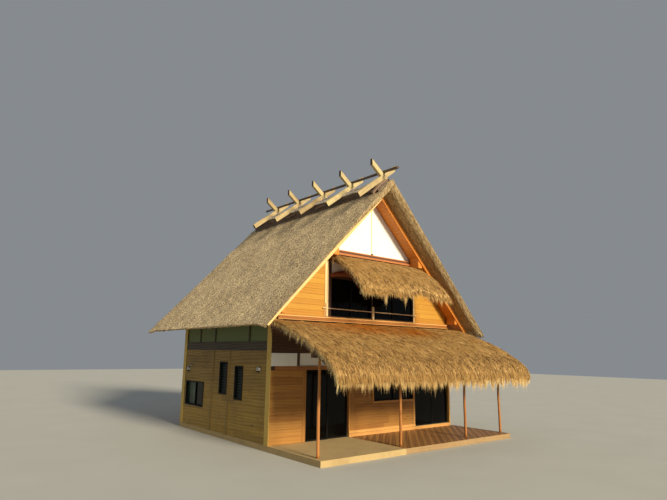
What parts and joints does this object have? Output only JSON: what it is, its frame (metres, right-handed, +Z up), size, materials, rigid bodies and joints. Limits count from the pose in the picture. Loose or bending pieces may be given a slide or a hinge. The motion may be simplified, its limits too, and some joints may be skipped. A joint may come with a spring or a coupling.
{
  "type": "thatched farmhouse",
  "caption": "Small farmhouse with a steep thatched gable roof, crossed ridge timbers, a thatched lean-to over a boarded veranda and a hooded loft window",
  "frame": {"origin": "centre of the bounding box on the ground, under the footings", "axes": "+Z up, +X to the right along the gable front seen from outside, +Y from the gable front to the rear along the ridge"},
  "size_m": [9.31, 10.8204, 9.1661],
  "materials": {
    "thatch_grey": "weathered reed thatch, rough",
    "straw_gold": "golden straw thatch, rough",
    "cedar_boards": "oiled boards, satin",
    "dark_timber": "dark stained timber, matte",
    "cream_timber": "peeled pale timber, matte",
    "plaster": "white lime plaster, matte",
    "bark": "dark bark, rough",
    "black_frame": "black frames with dark glass, semi gloss",
    "deck_timber": "worn deck boards, satin",
    "concrete": "smooth pale concrete, matte"
  },
  "bodies": {
    "house": {"ground_floor": "concrete", "entrance_slab": "concrete", "veranda_deck": "deck_timber", "veranda_post_1": "cream_timber", "veranda_post_2": "cream_timber", "veranda_post_3": "cream_timber", "veranda_post_4": "cream_timber", "lean_to_thatch": "straw_gold", "lean_to_frame": "dark_timber", "hood_thatch": "straw_gold", "hood_frame": "dark_timber", "main_thatch_left": "thatch_grey", "main_thatch_right": "thatch_grey", "roof_boards_left": "cedar_boards", "roof_boards_right": "cedar_boards", "bargeboard_front_left": "cedar_boards", "bargeboard_front_right": "cedar_boards", "bargeboard_rear_left": "cedar_boards", "bargeboard_rear_right": "cedar_boards", "ridge_cap": "bark", "ridge_pole": "dark_timber", "left_frame": "cedar_boards", "right_frame": "cedar_boards", "left_wall": "cedar_boards", "right_wall": "cedar_boards", "left_frieze": "plaster", "right_frieze": "plaster", "front_frieze": "plaster", "front_wall_left": "cedar_boards", "front_wall_middle": "cedar_boards", "door_lintel": "cedar_boards", "front_upper_boards": "dark_timber", "loft_sill_board": "cedar_boards", "front_loft_wall": "cedar_boards", "gable_beam": "dark_timber", "front_gable_plaster": "plaster", "rear_wall": "cedar_boards", "rear_beam": "dark_timber", "rear_loft_wall": "cedar_boards", "rear_gable_plaster": "plaster", "loft_floor": "cedar_boards", "front_window": "black_frame", "loft_window": "black_frame", "rear_window": "black_frame", "rear_loft_window": "black_frame", "side_window": "black_frame", "louvre_window_1": "black_frame", "louvre_window_2": "black_frame", "right_window": "black_frame", "loft_rail": "cream_timber", "ridge_pair_1": "cream_timber", "ridge_pair_2": "cream_timber", "ridge_pair_3": "cream_timber", "ridge_pair_4": "cream_timber", "ridge_pair_5": "cream_timber"},
    "entrance_door_left": {"entrance_door_left": "black_frame"},
    "entrance_door_right": {"entrance_door_right": "black_frame"},
    "veranda_door_left": {"veranda_door_left": "black_frame"},
    "veranda_door_right": {"veranda_door_right": "black_frame"}
  },
  "joints": [
    {"name": "entrance_door_left_slide", "type": "slide", "parent": "house", "child": "entrance_door_left", "axis": [1, 0, 0], "range_m": [0, 0.785]},
    {"name": "entrance_door_right_slide", "type": "slide", "parent": "house", "child": "entrance_door_right", "axis": [1, 0, 0], "range_m": [-0.785, 0]},
    {"name": "veranda_door_left_slide", "type": "slide", "parent": "house", "child": "veranda_door_left", "axis": [1, 0, 0], "range_m": [0, 0.86]},
    {"name": "veranda_door_right_slide", "type": "slide", "parent": "house", "child": "veranda_door_right", "axis": [1, 0, 0], "range_m": [-0.86, 0]}
  ]
}
